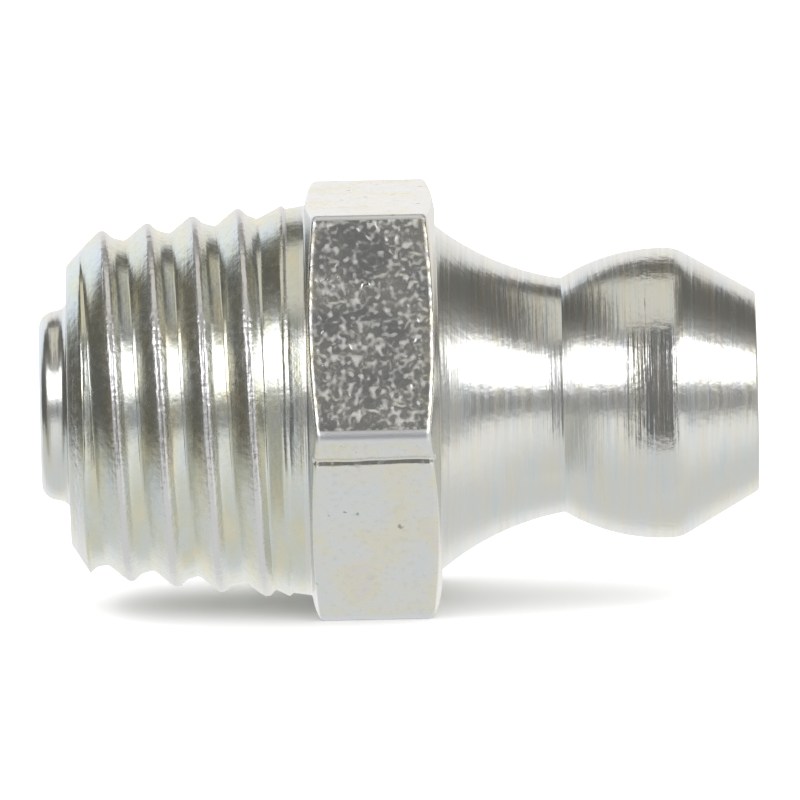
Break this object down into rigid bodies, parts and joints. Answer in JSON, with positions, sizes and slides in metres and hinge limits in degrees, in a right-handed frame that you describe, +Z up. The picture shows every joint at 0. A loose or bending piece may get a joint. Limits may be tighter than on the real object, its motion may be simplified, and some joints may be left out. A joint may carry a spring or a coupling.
{
  "type": "grease nipple",
  "caption": "Straight grease nipple lying on its hexagon, with a taper threaded shank, a waisted neck, a conical coupler head, and a sprung check ball inside.",
  "frame": {"origin": "on the axis of the nipple, in the end face of the hexagon on the thread side, where the nipple seats", "axes": "+X along the axis towards the coupler head; -X along the axis out of the thread; +Z up, with one flat of the hexagon facing -Z as the nipple lies"},
  "size_m": [0.0158, 0.0104, 0.009],
  "materials": {
    "zinc_plated_steel": "bright zinc plate with a thin clear passivation, turned marks on the head, as-drawn hexagon flats",
    "ball_steel": "ground and polished hardened steel",
    "spring_steel": "drawn spring wire"
  },
  "bodies": {
    "body": {"nipple_body": "zinc_plated_steel", "ball_spring": "spring_steel"},
    "ball": {"check_ball": "ball_steel"}
  },
  "joints": [
    {"name": "ball_travel", "type": "slide", "parent": "body", "child": "ball", "axis": [-1, 0, 0], "range_m": [0, 0.001], "stiffness_N_per_m": 950, "springref_m": -0.001, "deforming": ["ball_spring"]}
  ]
}
